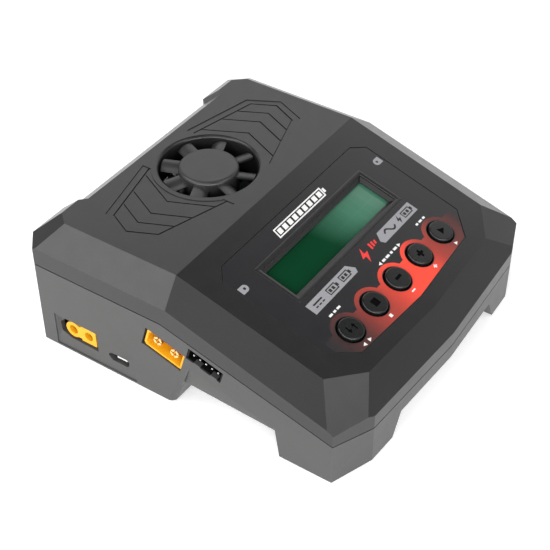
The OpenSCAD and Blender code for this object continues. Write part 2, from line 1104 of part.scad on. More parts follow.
module usb_tongue() {
    color([0.92, 0.92, 0.9])
    left_wall(usb_y, usb_z)
        translate([-2.6, -0.85, -7])
            cube([4.4, 0.75, 5.35]);
}

module ac_inlet() {
    color([0.05, 0.05, 0.05])
    mirror([1, 0, 0])
        left_wall(ac_y, ac_z)
            difference() {
                union() {
                    translate([0, 0, -18])
                        rounded_box(22, 13, 18, 3);
                    translate([0, 0, -ac_pocket])
                        rounded_box(24.5, 15.5, ac_pocket + proud, 4);
                }
                translate([0, 0, -12])
                    linear_extrude(20)
                        ac_plan(4.2);
                for (s = [-1, 1])
                    translate([s * ac_pitch / 2, 0, -25])
                        cylinder(r = ac_root_r, h = 20);
            }
}

module ac_inlet_pins() {
    color([0.8, 0.8, 0.78])
    mirror([1, 0, 0])
        left_wall(ac_y, ac_z)
            for (s = [-1, 1])
                translate([s * ac_pitch / 2, 0, 0]) {
                    translate([0, 0, -21])
                        cylinder(r = ac_root_r, h = 10);
                    translate([0, 0, -12])
                        cylinder(r = ac_pin_r, h = 9.5);
                }
}

// ---- power board in the rear pod ----
module power_board() {
    color([0.08, 0.3, 0.18])
    difference() {
        translate([-58, 10.5, power_board_z])
            cube([116, 51, board_t]);
        for (p = power_post)
            translate([p[0], p[1], 0])
                cylinder(r = 1.3, h = 20);
        // bay for the data port
        translate([-59, usb_y - 4, 0])
            cube([2.8, 8, 20]);
        both_sides() {
            translate([post_rear[0], post_rear[1], 0])
                cylinder(r = post_r + 0.8, h = 20);
            translate([post_rear[0] - 10, post_rear[1], 0])
                cube([10 + post_r + 0.8, 9, 20]);
        }
    }
}

module transformer_core() {
    color([0.16, 0.16, 0.17])
    translate([-3, 16, power_top + 2])
        difference() {
            translate([0, 5, 0])
                cube([26, 12, 22]);
            translate([4, 0, 4])
                cube([5, 30, 14]);
            translate([17, 0, 4])
                cube([5, 30, 14]);
        }
}

module transformer_winding() {
    color([0.9, 0.75, 0.15])
    translate([-3, 16, power_top])
        difference() {
            union() {
                translate([4.3, 1.5, 6.3])
                    cube([17.4, 19, 13.4]);
                // bobbin feet
                translate([4.3, 1.5, 0])
                    cube([17.4, 2.5, 6.4]);
                translate([4.3, 18, 0])
                    cube([17.4, 2.5, 6.4]);
            }
            translate([8.9, 4.9, 5.9])
                cube([8.2, 12.2, 14.2]);
        }
}

module bulk_capacitor() {
    color([0.1, 0.12, 0.3])
    translate([36, 21, power_top + 9.1])
        rotate([-90, 0, 0])
            difference() {
                cylinder(r = 9, h = 13);
                translate([0, 0, 12.6])
                    cylinder(r = 7.5, h = 2);
            }
}

module small_capacitors() {
    color([0.12, 0.14, 0.16])
    for (p = [[-12, 17], [-12, 28], [-20, 38], [-8, 40]])
        translate([p[0], p[1], power_top])
            difference() {
                cylinder(r = 4, h = 14);
                translate([0, 0, 13.6])
                    cylinder(r = 3.4, h = 2);
            }
}

module line_choke() {
    color([0.75, 0.45, 0.2])
    translate([24, 43.2, power_top + 1]) {
        rotate_extrude()
            translate([4.3, 2.8])
                circle(r = 2.7);
        translate([-1, -6.5, -1])
            cube([2, 13, 1.4]);
    }
}

module choke_coils() {
    color([0.75, 0.4, 0.15])
    for (p = [[-31, 24], [-31, 42]])
        translate([p[0], p[1], power_top + 8.2])
            rotate([0, 90, 0])
                rotate_extrude()
                    difference() {
                        translate([5.2, 0])
                            square([5.6, 7.6], center = true);
                        translate([5.2, 0])
                            square([3.8, 5.6], center = true);
                    }
}

module choke_cores() {
    color([0.9, 0.85, 0.3])
    for (p = [[-31, 24], [-31, 42]])
        translate([p[0], p[1], power_top + 8.2])
            rotate([0, 90, 0])
                rotate_extrude()
                    translate([5.2, 0])
                        square([3.7, 5.5], center = true);
}

module heatsink() {
    color([0.7, 0.71, 0.72])
    translate([-26, 55.5, power_top])
        difference() {
            cube([52, 6, 20]);
            for (i = [0 : 9])
                translate([2.4 + i * 5, 2.4, -1])
                    cube([3, 5, 22]);
            for (x = [4, 48])
                translate([x - 4.3, -1, -1])
                    cube([8.6, 9, 3.4]);
        }
}

module power_transistors() {
    color([0.09, 0.09, 0.09])
    for (x = [-20, -7, 7, 20])
        translate([x - 5, 51, power_top + 4]) {
            cube([10, 4.4, 9]);
            translate([0, 3.2, 0])
                cube([10, 1.2, 15]);
            for (k = [1, 4.6, 8.2])
                translate([k, 1.6, -4])
                    cube([0.8, 0.6, 4.4]);
        }
}

// flat cable that joins the two boards
module link_cable() {
    color([0.55, 0.55, 0.57])
    union() {
        translate([14, 13, power_top])
            cube([20, 1.2, 15]);
        translate([14, 10.2, power_top + 13.8])
            cube([20, 4, 1.2]);
        translate([14, 10.2, power_top + 13.8])
            cube([20, 1.2, 8.5]);
        on_panel()
            translate([14, -7, board_top - board_t - 6])
                cube([20, 3.6, 6]);
    }
}

module board_screws() {
    color([0.7, 0.7, 0.72])
    union() {
        on_panel()
            for (p = main_post)
                translate([p[0], p[1], board_top - board_t])
                    screw(6, 1, 1.9);
        for (p = power_post)
            translate([p[0], p[1], power_top])
                mirror([0, 0, 1])
                    screw(4, 1, 1.9);
    }
}

// ---- fan ----
module fan_frame() {
    color([0.1, 0.1, 0.1])
    translate([0, fan_y, fan_bottom])
        difference() {
            union() {
                difference() {
                    rounded_box(fan_size, fan_size, fan_h, 3);
                    translate([0, 0, -1])
                        cylinder(r = fan_open_r + 0.5, h = fan_h + 2);
                }
                // motor plate, its struts and the bearing tube
                cylinder(r = hub_r - 0.4, h = 1.2);
                for (a = [30, 150, 270])
                    rotate([0, 0, a])
                        translate([0, -1.2, 0])
                            cube([fan_open_r + 0.9, 2.4, 1.2]);
                cylinder(r = 2.4, h = 8.2);
            }
            for (x = [-1, 1], y = [-1, 1])
                translate([x * fan_hole, y * fan_hole, -1])
                    cylinder(r = 1.7, h = fan_h + 2);
            translate([0, 0, 1])
                cylinder(r = shaft_r + 0.06, h = 20);
        }
}

module fan_stator() {
    color([0.7, 0.4, 0.2])
    translate([0, fan_y, fan_bottom + 1.6])
        difference() {
            union() {
                translate([0, 0, 1])
                    cylinder(r = 4.5, h = 4);
                for (a = [0, 90, 180, 270])
                    rotate([0, 0, a])
                        translate([0, -1.7, 1])
                            cube([8.4, 3.4, 4]);
                difference() {
                    translate([0, 0, 2])
                        cylinder(r = 9.2, h = 2);
                    translate([0, 0, 1])
                        cylinder(r = 7.6, h = 4);
                }
            }
            translate([0, 0, -2])
                cylinder(r = 2.42, h = 12);
        }
}

// one blade: a curved strip standing out of the hub
module blade() {
    curve = 5;
    rotate([90, 0, 90])
        linear_extrude(blade_tip_r + 2)
            translate([-1.4, -curve - 0.5])
                intersection() {
                    difference() {
                        circle(r = curve + 0.5);
                        circle(r = curve - 0.5);
                    }
                    polygon([[0, 0], [-3, 14], [12, 10]]);
                }
}

module fan_rotor() {
    color([0.22, 0.22, 0.23])
    translate([0, fan_y, 0])
        union() {
            // hub cap
            difference() {
                translate([0, 0, hub_bottom])
                    rotate_extrude()
                        union() {
                            square([hub_r - hub_round, body_h - hub_bottom]);
                            square([hub_r, body_h - hub_bottom - hub_round]);
                            translate([hub_r - hub_round, body_h - hub_bottom - hub_round])
                                intersection() {
                                    circle(r = hub_round);
                                    square([9, 9]);
                                }
                        }
                translate([0, 0, hub_bottom - 1])
                    cylinder(r = hub_r - 1.3, h = body_h - hub_bottom - 0.4);
            }
            // shaft
            translate([0, 0, fan_bottom + 1.6])
                cylinder(r = shaft_r, h = body_h - fan_bottom - 2.4);
            // blades
            difference() {
                intersection() {
                    for (k = [0 : blade_count - 1])
                        rotate([0, 0, k * 360 / blade_count + 22])
                            translate([0, 0, blade_top])
                                blade();
                    translate([0, 0, hub_bottom])
                        cylinder(r = blade_tip_r, h = 20);
                }
                cylinder(r = hub_r - 0.6, h = 60);
            }
        }
}

module fan_leads() {
    color([0.7, 0.06, 0.06])
    for (i = [0, 1])
        translate([4 + i * 1.8, fan_y - 12, fan_bottom - 0.75]) {
            rotate([90, 0, 0])
                cylinder(r = 0.6, h = 9);
            translate([0, -9, 0])
                sphere(r = 0.6);
            translate([0, -9, -29])
                cylinder(r = 0.6, h = 29);
        }
}

module fan_screws() {
    color([0.6, 0.6, 0.62])
    for (x = [-1, 1], y = [-1, 1])
        translate([x * fan_hole, fan_y + y * fan_hole, fan_bottom])
            screw(fan_h + 0.8, 1.2, 2.4);
}

top_shell();
bottom_shell();
overlay_panel();
lcd_glass();
lcd_frame();
lcd_board();
lcd_header_pins();
key_select();
key_stop();
key_down();
key_up();
key_start();
plunger_select();
plunger_stop();
plunger_down();
plunger_up();
plunger_start();
tact_switches();
main_board();
board_chips();
buzzer();
balance_socket_left();
balance_socket_right();
balance_socket_pins();
output_socket_left();
output_socket_right();
output_pins_left();
output_pins_right();
output_leads_red();
output_leads_black();
dc_socket();
dc_contacts();
usb_shell();
usb_tongue();
ac_inlet();
ac_inlet_pins();
power_board();
transformer_core();
transformer_winding();
bulk_capacitor();
small_capacitors();
line_choke();
choke_coils();
choke_cores();
heatsink();
power_transistors();
link_cable();
fan_frame();
fan_rotor();
fan_stator();
fan_leads();
fan_screws();
board_screws();
housing_screws();
rubber_feet();
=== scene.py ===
"""Looks of a two-channel balance battery charger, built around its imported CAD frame.

Everything is in metres in the CAD's own frame: +X the user's right, +Y the back, +Z up.
Lengths written with MM are millimetres.
"""

import json
import math

import bmesh
import bpy
from mathutils import Matrix, Vector
from mathutils.geometry import tessellate_polygon


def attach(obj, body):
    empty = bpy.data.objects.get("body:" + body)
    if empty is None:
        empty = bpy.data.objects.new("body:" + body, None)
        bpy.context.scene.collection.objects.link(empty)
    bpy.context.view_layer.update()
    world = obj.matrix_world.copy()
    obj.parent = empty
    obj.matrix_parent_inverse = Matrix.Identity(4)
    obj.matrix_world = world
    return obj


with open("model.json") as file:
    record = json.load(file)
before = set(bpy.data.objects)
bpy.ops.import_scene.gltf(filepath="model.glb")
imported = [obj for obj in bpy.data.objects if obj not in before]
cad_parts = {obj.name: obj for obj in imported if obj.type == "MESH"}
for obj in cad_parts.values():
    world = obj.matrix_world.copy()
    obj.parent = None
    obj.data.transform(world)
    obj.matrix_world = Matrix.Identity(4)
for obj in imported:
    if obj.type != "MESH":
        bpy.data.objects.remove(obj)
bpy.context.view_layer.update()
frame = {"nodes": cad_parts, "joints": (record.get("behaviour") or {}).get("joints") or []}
MM = 0.001
NODES = frame["nodes"]
# sockets of the colour Mix node, which has one set for each kind of value
MIX_FACTOR, MIX_A, MIX_B, MIX_RESULT = 0, 6, 7, 2
KEYS = ["key_select", "key_stop", "key_down", "key_up", "key_start"]
# the camera, fitted to the housing's corners
CAMERA_PLACE = (-0.30264, -0.19988, 0.33080)
CAMERA_FORWARD = (0.62314, 0.42323, -0.65770)
CAMERA_ROLL = 0.18
CAMERA_LENS = 86.51


# ---------------------------------------------------------------- material tools
class Paint:
    """A material with one Principled shader, and short calls for the nodes that feed it."""

    def __init__(self, name, color, roughness, metallic=0.0, **sockets):
        self.material = bpy.data.materials.new(name)
        self.material.use_nodes = True
        self.tree = self.material.node_tree
        self.tree.nodes.clear()
        out = self.node("ShaderNodeOutputMaterial")
        self.shader = self.node("ShaderNodeBsdfPrincipled")
        self.link(self.shader, "BSDF", out, "Surface")
        self.shader.inputs["Base Color"].default_value = (*color, 1.0)
        self.color_source = None
        self.shader.inputs["Roughness"].default_value = roughness
        self.shader.inputs["Metallic"].default_value = metallic
        for socket, value in sockets.items():
            self.shader.inputs[socket.replace("_", " ")].default_value = value
        self.coordinates = None
        self.base_roughness = roughness

    def node(self, kind, **settings):
        made = self.tree.nodes.new(kind)
        for key, value in settings.items():
            setattr(made, key, value)
        return made

    def link(self, source, output, target, socket):
        self.tree.links.new(source.outputs[output], target.inputs[socket])

    def position(self, stretch=(1, 1, 1), turn=(0, 0, 0)):
        """Object coordinates in millimetres, stretched and turned for grain."""
        if self.coordinates is None:
            self.coordinates = self.node("ShaderNodeTexCoord")
        mapping = self.node("ShaderNodeMapping")
        mapping.inputs["Scale"].default_value = [s / MM for s in stretch]
        mapping.inputs["Rotation"].default_value = turn
        self.link(self.coordinates, "Object", mapping, "Vector")
        return mapping

    def noise(self, size_mm, detail=2.0, stretch=(1, 1, 1)):
        """Noise whose blobs are about size_mm across."""
        texture = self.node("ShaderNodeTexNoise")
        texture.inputs["Scale"].default_value = 1 / size_mm
        texture.inputs["Detail"].default_value = detail
        self.link(self.position(stretch), "Vector", texture, "Vector")
        return texture, "Fac"

    def cells(self, size_mm):
        """Distance from the middle of round cells about size_mm across."""
        texture = self.node("ShaderNodeTexVoronoi")
        texture.inputs["Scale"].default_value = 1 / size_mm
        self.link(self.position(), "Vector", texture, "Vector")
        return texture, "Distance"

    def wave(self, pitch_mm, axis, turn=(0, 0, 0)):
        """Parallel bands, pitch_mm apart. The texture turns 20 radians per unit of scale."""
        texture = self.node("ShaderNodeTexWave", bands_direction=axis)
        texture.inputs["Scale"].default_value = math.tau / (20 * pitch_mm)
        self.link(self.position(turn=turn), "Vector", texture, "Vector")
        return texture, "Fac"

    def remap(self, source, low, high, to_low=0.0, to_high=1.0):
        ranged = self.node("ShaderNodeMapRange")
        for socket, value in zip(("From Min", "From Max", "To Min", "To Max"),
                                 (low, high, to_low, to_high)):
            ranged.inputs[socket].default_value = value
        self.link(*source, ranged, "Value")
        return ranged, "Result"

    def edges(self, radius_mm=0.5):
        """1 on outer edges and 0 on flat ground, from how a rounded normal differs."""
        rounded = self.node("ShaderNodeBevel", samples=4)
        rounded.inputs["Radius"].default_value = radius_mm * MM
        true_normal = self.node("ShaderNodeNewGeometry")
        dot = self.node("ShaderNodeVectorMath", operation="DOT_PRODUCT")
        self.link(rounded, "Normal", dot, 0)
        self.link(true_normal, "Normal", dot, 1)
        return self.remap((dot, "Value"), 0.995, 0.86)

    def tint(self, color, factor):
        """Mixes a colour over what is there, by a factor."""
        mix = self.node("ShaderNodeMix", data_type="RGBA")
        if self.color_source is None:
            mix.inputs[MIX_A].default_value = self.shader.inputs["Base Color"].default_value
        else:
            self.link(*self.color_source, mix, MIX_A)
        mix.inputs[MIX_B].default_value = (*color, 1.0)
        self.link(*factor, mix, MIX_FACTOR)
        self.paint_with((mix, MIX_RESULT))

    def paint_with(self, source):
        self.color_source = source
        self.link(*source, self.shader, "Base Color")

    def vary_roughness(self, source, spread):
        """Roughness moves by spread either side of its base value."""
        low = self.base_roughness - spread
        high = self.base_roughness + spread
        self.link(*self.remap(source, 0.3, 0.7, low, high), self.shader, "Roughness")

    def bump(self, source, height_mm, strength=1.0):
        """Adds relief, on top of relief that is already there."""
        relief = self.node("ShaderNodeBump")
        relief.inputs["Distance"].default_value = height_mm * MM
        relief.inputs["Strength"].default_value = strength
        self.link(*source, relief, "Height")
        if self.shader.inputs["Normal"].is_linked:
            before = self.shader.inputs["Normal"].links[0].from_node
            self.link(before, "Normal", relief, "Normal")
        self.link(relief, "Normal", self.shader, "Normal")
        return self


def plastic(name, color, roughness, grain_mm=0.3, relief_mm=0.01, wear=(0.06, 0.06, 0.06),
            gloss=0.5):
    """Moulded plastic with a spark-eroded grain whose lighter specks are partly its own tone and partly
    painted glints, cloudy gloss and slightly polished edges.
    """
    paint = Paint(name, color, roughness, Specular_IOR_Level=gloss)
    grain_tone_and_glints = [min(1.0, c * 1.5 + 0.004) for c in color]
    darker = [c * 0.7 for c in color]
    # lighter specks from the fine grain noise: partly the plastic's own tone, partly painted glints of
    # light
    paint.tint(grain_tone_and_glints, paint.remap(paint.noise(grain_mm, 3), 0.45, 0.75, 0.0, 0.7))
    paint.tint(darker, paint.remap(paint.noise(14, 3), 0.4, 0.75, 0.0, 0.15))
    paint.tint(wear, paint.remap(paint.edges(), 0.0, 1.0, 0.0, 0.3))
    paint.vary_roughness(paint.noise(5, 4), 0.02)
    return paint.bump(paint.noise(grain_mm, 3), relief_mm, 0.6)


def metal(name, color, roughness, stretch=(1, 1, 1), grain_mm=0.4):
    """Plated or drawn metal with fine lines and a light tarnish."""
    paint = Paint(name, color, roughness, metallic=1.0)
    dull = [c * 0.55 for c in color]
    paint.tint(dull, paint.remap(paint.noise(2.5, 4), 0.5, 0.8, 0.0, 0.5))
    paint.vary_roughness(paint.noise(grain_mm, 3, stretch), 0.1)
    return paint.bump(paint.noise(grain_mm, 3, stretch), 0.01, 0.4)


def print_ink(name, color, roughness=0.42):
    """Screen-printed ink: flat colour with a faint mesh and thin spots."""
    paint = Paint(name, color, roughness)
    paint.tint([c * 0.8 for c in color], paint.remap(paint.noise(0.5, 2), 0.5, 0.8, 0, 0.5))
    paint.vary_roughness(paint.noise(1.5), 0.05)
    return paint.bump(paint.cells(0.25), 0.004, 0.5)


def red_ink():
    """The red field behind the keys, brightest in the middle and fading out to both sides."""
    paint = Paint("red_fade_ink", (0.012, 0.009, 0.010), 0.42)
    split = paint.node("ShaderNodeSeparateXYZ")
    paint.link(paint.position(), "Vector", split, "Vector")
    ramp = paint.node("ShaderNodeValToRGB")
    ramp.color_ramp.interpolation = "EASE"
    reach = 45
    stops = [(-41, (0.014, 0.011, 0.012)), (-29, (0.07, 0.016, 0.014)),
             (-14, (0.34, 0.035, 0.022)), (4, (0.86, 0.06, 0.03)),
             (11, (0.86, 0.06, 0.03)), (24, (0.30, 0.033, 0.022)),
             (34, (0.10, 0.02, 0.016)), (43, (0.022, 0.012, 0.013))]
    across = paint.remap((split, "X"), -reach, reach)
    elements = ramp.color_ramp.elements
    while len(elements) < len(stops):
        elements.new(0.5)
    for element, (x_mm, color) in zip(elements, stops):
        element.position = (x_mm + reach) / (2 * reach)
        element.color = (*color, 1)
    paint.link(*across, ramp, "Fac")
    paint.paint_with((ramp, "Color"))
    paint.tint((0.02, 0.01, 0.01), paint.remap(paint.noise(0.4, 2), 0.5, 0.8, 0, 0.25))
    paint.vary_roughness(paint.noise(1.5), 0.05)
    return paint.bump(paint.cells(0.25), 0.004, 0.5)


def display_glass():
    """Green display glass, with its two rows of character cells just visible and a painted sheen of
    light that lightens it towards the right.
    """
    paint = Paint("display_green", (0.001, 0.042, 0.015), 0.08, Specular_IOR_Level=0.35)
    split = paint.node("ShaderNodeSeparateXYZ")
    paint.link(paint.position(turn=(0, 0, math.radians(-20))), "Vector", split, "Vector")
    # painted sheen: the glass turns lighter green towards the right, standing in for light reflected
    # across it
    paint.tint((0.06, 0.185, 0.12), paint.remap((split, "X"), -8, 9))
    paint.tint((0.001, 0.030, 0.012), paint.remap(paint.noise(22, 1), 0.35, 0.7, 0, 0.25))
    grid = paint.node("ShaderNodeTexBrick", offset=0.0, squash=1.0)
    for socket, value in (("Scale", 1.0), ("Mortar Size", 0.22), ("Mortar Smooth", 0.2),
                          ("Brick Width", 3.55), ("Row Height", 5.9)):
        grid.inputs[socket].default_value = value
    paint.link(paint.position(turn=(-SLOPE, 0, 0)), "Vector", grid, "Vector")
    paint.tint((0.006, 0.045, 0.020), paint.remap((grid, "Fac"), 0, 1, 0.08, 0.0))
    paint.vary_roughness(paint.noise(9), 0.02)
    return paint


def wound(name, color, pitch_mm, axis, turn=(0, 0, 0)):
    """Enamelled wire, tape or ribbon: close parallel turns, with painted shade darkening the grooves
    between them.
    """
    paint = Paint(name, color, 0.35)
    # painted shade: dark narrow lines in the grooves between turns
    paint.tint([c * 0.35 for c in color],
               paint.remap(paint.wave(pitch_mm, axis, turn=turn), 0.0, 0.35, 0.8, 0.0))
    paint.vary_roughness(paint.noise(1.0), 0.08)
    return paint.bump(paint.wave(pitch_mm, axis, turn=turn), 0.15, 0.8)


def circuit_board(turn):
    """Solder mask over copper: a grid of tracks, pads and bare laminate."""
    paint = Paint("solder_mask", (0.008, 0.10, 0.045), 0.3, Coat_Weight=0.3)
    tracks = paint.node("ShaderNodeTexBrick", offset=0.5)
    for socket, value in (("Scale", 1.0), ("Mortar Size", 0.35), ("Mortar Smooth", 0.3),
                          ("Brick Width", 7.0), ("Row Height", 2.4)):
        tracks.inputs[socket].default_value = value
    paint.link(paint.position(turn=turn), "Vector", tracks, "Vector")
    paint.tint((0.02, 0.21, 0.10), (tracks, "Fac"))
    pads = paint.remap(paint.cells(3.1), 0.16, 0.2, 1.0, 0.0)
    paint.tint((0.62, 0.60, 0.55), pads)
    paint.vary_roughness(paint.noise(2.0), 0.08)
    return paint.bump((tracks, "Fac"), 0.05, 0.5)


# ---------------------------------------------------------------- the panel's own axes
def panel_matrix():
    """From the panel's axes (x right, y up the slope, z out of it) to the frame.

    The origin is the middle of the film's rear edge, on the film's face.
    """
    press = next(j for j in frame["joints"] if j["name"] == "select_press")
    out = -Vector(press["axis"]).normalized()
    right = Vector((1, 0, 0))
    up = out.cross(right)
    film = [v.co for v in NODES["overlay_panel"].data.vertices]
    origin = out * max(out.dot(c) for c in film) + up * max(up.dot(c) for c in film)
    return Matrix.Translation(origin) @ Matrix((right, up, out)).transposed().to_4x4()


PANEL = panel_matrix()
TO_PANEL = PANEL.inverted()
SLOPE = math.atan2(-PANEL[1][2], PANEL[2][2])


def panel_box(node):
    """Lowest and highest corner of a CAD node, in the panel's axes and millimetres."""
    points = [TO_PANEL @ v.co / MM for v in NODES[node].data.vertices]
    return Vector(map(min, zip(*points))), Vector(map(max, zip(*points)))


def panel_middle(node):
    low, high = panel_box(node)
    return (low + high) / 2


# ---------------------------------------------------------------- outlines and plates
def arc(x, y, radius, start, end, steps=16):
    """Points on a circle, with angles in degrees."""
    angles = [math.radians(start + (end - start) * k / steps) for k in range(steps + 1)]
    return [(x + radius * math.cos(a), y + radius * math.sin(a)) for a in angles]


def rectangle(x, y, width, height, lean=0.0):
    """A rectangle about (x, y), its top edge shifted sideways by lean."""
    w, h, s = width / 2, height / 2, lean / 2
    return [(x - w - s, y - h), (x + w - s, y - h), (x + w + s, y + h), (x - w + s, y + h)]


def rounded(x, y, width, height, radius, steps=6):
    """A rounded rectangle about (x, y)."""
    w, h = width / 2 - radius, height / 2 - radius
    corners = [(w, -h, -90), (w, h, 0), (-w, h, 90), (-w, -h, 180)]
    return [p for cx, cy, a in corners for p in arc(x + cx, y + cy, radius, a, a + 90, steps)]


def shifted(outline, x, y, scale=1.0):
    return [(x + px * scale, y + py * scale) for px, py in outline]


def plate_mesh(name, shapes, low, high):
    """Closed flat solids from shapes, each [outer loop, hole, ...], in millimetres."""
    bm = bmesh.new()
    for loops in shapes:
        flat = [Vector((x, y, 0)) for loop in loops for x, y in loop]
        bottom = [bm.verts.new((v.x, v.y, low)) for v in flat]
        top = [bm.verts.new((v.x, v.y, high)) for v in flat]
        for triangle in tessellate_polygon([[Vector((x, y, 0)) for x, y in l] for l in loops]):
            bm.faces.new([top[i] for i in triangle])
            bm.faces.new([bottom[i] for i in reversed(triangle)])
        start = 0
        for loop in loops:
            count = len(loop)
            for k in range(count):
                a, b = start + k, start + (k + 1) % count
                bm.faces.new([bottom[a], bottom[b], top[b], top[a]])
            start += count
    bmesh.ops.recalc_face_normals(bm, faces=bm.faces)
    mesh = bpy.data.meshes.new(name)
    bm.to_mesh(mesh)
    bm.free()
    return mesh


def add_piece(name, mesh, matrix, paint, body="housing"):
    """Puts a millimetre mesh into the frame as a piece with its paint and body."""
    mesh.transform(matrix @ Matrix.Scale(MM, 4))
    piece = bpy.data.objects.new(name, mesh)
    bpy.context.scene.collection.objects.link(piece)
    mesh.materials.append(paint.material)
    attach(piece, body)
    return piece


def add_print(name, shapes, paint, layer=0):
    """A printed mark on the film. Each layer lies on the one below it."""
    ink_mm = 0.02
    low = layer * ink_mm - 0.01
    return add_piece(name, plate_mesh(name, shapes, low, low + ink_mm + 0.01), PANEL, paint)


# ---------------------------------------------------------------- printed film
def film_edge():
    """The film's outline in panel millimetres, from its lowest left corner, anticlockwise."""
    points = sorted({(round(p.x, 3), round(p.y, 3)) for p in
                     (TO_PANEL @ v.co / MM for v in NODES["overlay_panel"].data.vertices)})

    def half(run):
        line = []
        for p in run:
            while len(line) > 1 and cross(line[-2], line[-1], p) <= 0:
                line.pop()
            line.append(p)
        return line[:-1]

    def cross(a, b, c):
        return (b[0] - a[0]) * (c[1] - a[1]) - (b[1] - a[1]) * (c[0] - a[0])

    return half(points) + half(points[::-1])


def film_bottom(x):
    """Height of the film's lower edge at x."""
    edge = film_edge()
    heights = []
    for (x0, y0), (x1, y1) in zip(edge, edge[1:] + edge[:1]):
        if x0 != x1 and min(x0, x1) <= x <= max(x0, x1):
            heights.append(y0 + (y1 - y0) * (x - x0) / (x1 - x0))
    return min(heights)


def red_field(keys):
    """One scalloped shape behind the keys, with a round hole for each key."""
    scallop, web, hole, margin = 7.1, 3.1, 5.5, 0.25
    side = 41.5
    lean = math.degrees(math.asin(web / scallop))
    outline = [(-side, keys[0].y + web)]
    for key in keys:
        outline += arc(key.x, key.y, scallop, 180 - lean, lean, 20)
    outline.append((side, keys[0].y + web))
    corners = sorted({x for x, y in film_edge() if abs(x) < side and y < keys[0].y})
    for x in [side, *corners[::-1], -side]:
        outline.append((x, film_bottom(x) + margin))
    return [outline] + [arc(k.x, k.y, hole, 0, 345, 23) for k in keys]


def label_shape(x_outer, x_inner, y):
    """A label box that comes to a blunt point at its inner end."""
    half, step = 2.35, 2.2 if x_inner > x_outer else -2.2
    return [(x_outer, y - half), (x_inner - step * 0.45, y - half), (x_inner, y - half * 0.3),
            (x_inner - step, y + half), (x_outer, y + half)]


def battery_mark(x, y, scale=1.0):
    """Battery outline with its terminal and two bars, as separate shapes."""
    case = [rectangle(0, 0, 5.2, 2.8), rectangle(0, 0, 4.4, 2.0)[::-1]]
    shapes = [case, [rectangle(3.0, 0, 0.8, 1.3)], [rectangle(-1.1, 0, 1.2, 1.2)],
              [rectangle(0.7, 0, 1.2, 1.2)]]
    return [[shifted(loop, x, y, scale) for loop in shape] for shape in shapes]


def steady_mark(x, y):
    """Steady current: a long bar over three short ones."""
    dashes = [[rectangle(x + k * 1.9, y - 0.75, 1.3, 0.5)] for k in (-1, 0, 1)]
    return [[rectangle(x, y + 0.55, 5.1, 0.6)]] + dashes


def wave_mark(x, y):
    """Alternating current: one wave, drawn as a band of even thickness."""
    length, rise, thick, steps = 6.4, 1.05, 0.35, 24
    middle = [(-length / 2 + length * k / steps, rise * math.sin(math.tau * k / steps))
              for k in range(steps + 1)]
    upper, lower = [], []
    for px, py in middle:
        slope = rise * math.tau / length * math.cos(math.tau * (px / length + 0.5))
        nx, ny = -slope / math.hypot(slope, 1), 1 / math.hypot(slope, 1)
        upper.append((x + px + nx * thick, y + py + ny * thick))
        lower.append((x + px - nx * thick, y + py - ny * thick))
    return [[lower + upper[::-1]]]


def bolt_mark(x, y, scale):
    """A lightning bolt."""
    bolt = [(0.9, 3.2), (-2.2, -0.5), (-0.3, -0.5), (-1.0, -3.2), (2.2, 0.6), (0.2, 0.6)]
    return [[shifted(bolt, x, y, scale)]]


def gauge_mark(x, y):
    """A charge gauge: a slanted case with nine filled bars and a terminal."""
    case = [rectangle(0, 0, 29, 4.0, 0.9), rectangle(0, 0, 27.8, 3.0, 0.68)[::-1]]
    bars = [[rectangle(-12.2 + k * 3.05, 0, 2.1, 2.1, 0.5)] for k in range(9)]
    shapes = [case, [rectangle(15.3, 0, 1.1, 1.8, 0.4)]] + bars
    return [[shifted(loop, x, y) for loop in shape] for shape in shapes]


def socket_mark(x, y, side):
    """A tag with one round end and a hole."""
    tag = [(-side * 1.9, -1.5), (-side * 1.9, 1.5)]
    end = arc(side * 0.4, 0, 1.5, 90, 90 - side * 180, 12)
    hole = arc(side * 0.3, 0, 0.55, 0, 330, 11)
    return [[shifted(tag + end, x, y), shifted(hole, x, y)]]


def pointer(x, y, side):
    return [[(x - side * 0.6, y - 0.75), (x + side * 0.9, y), (x - side * 0.6, y + 0.75)]]


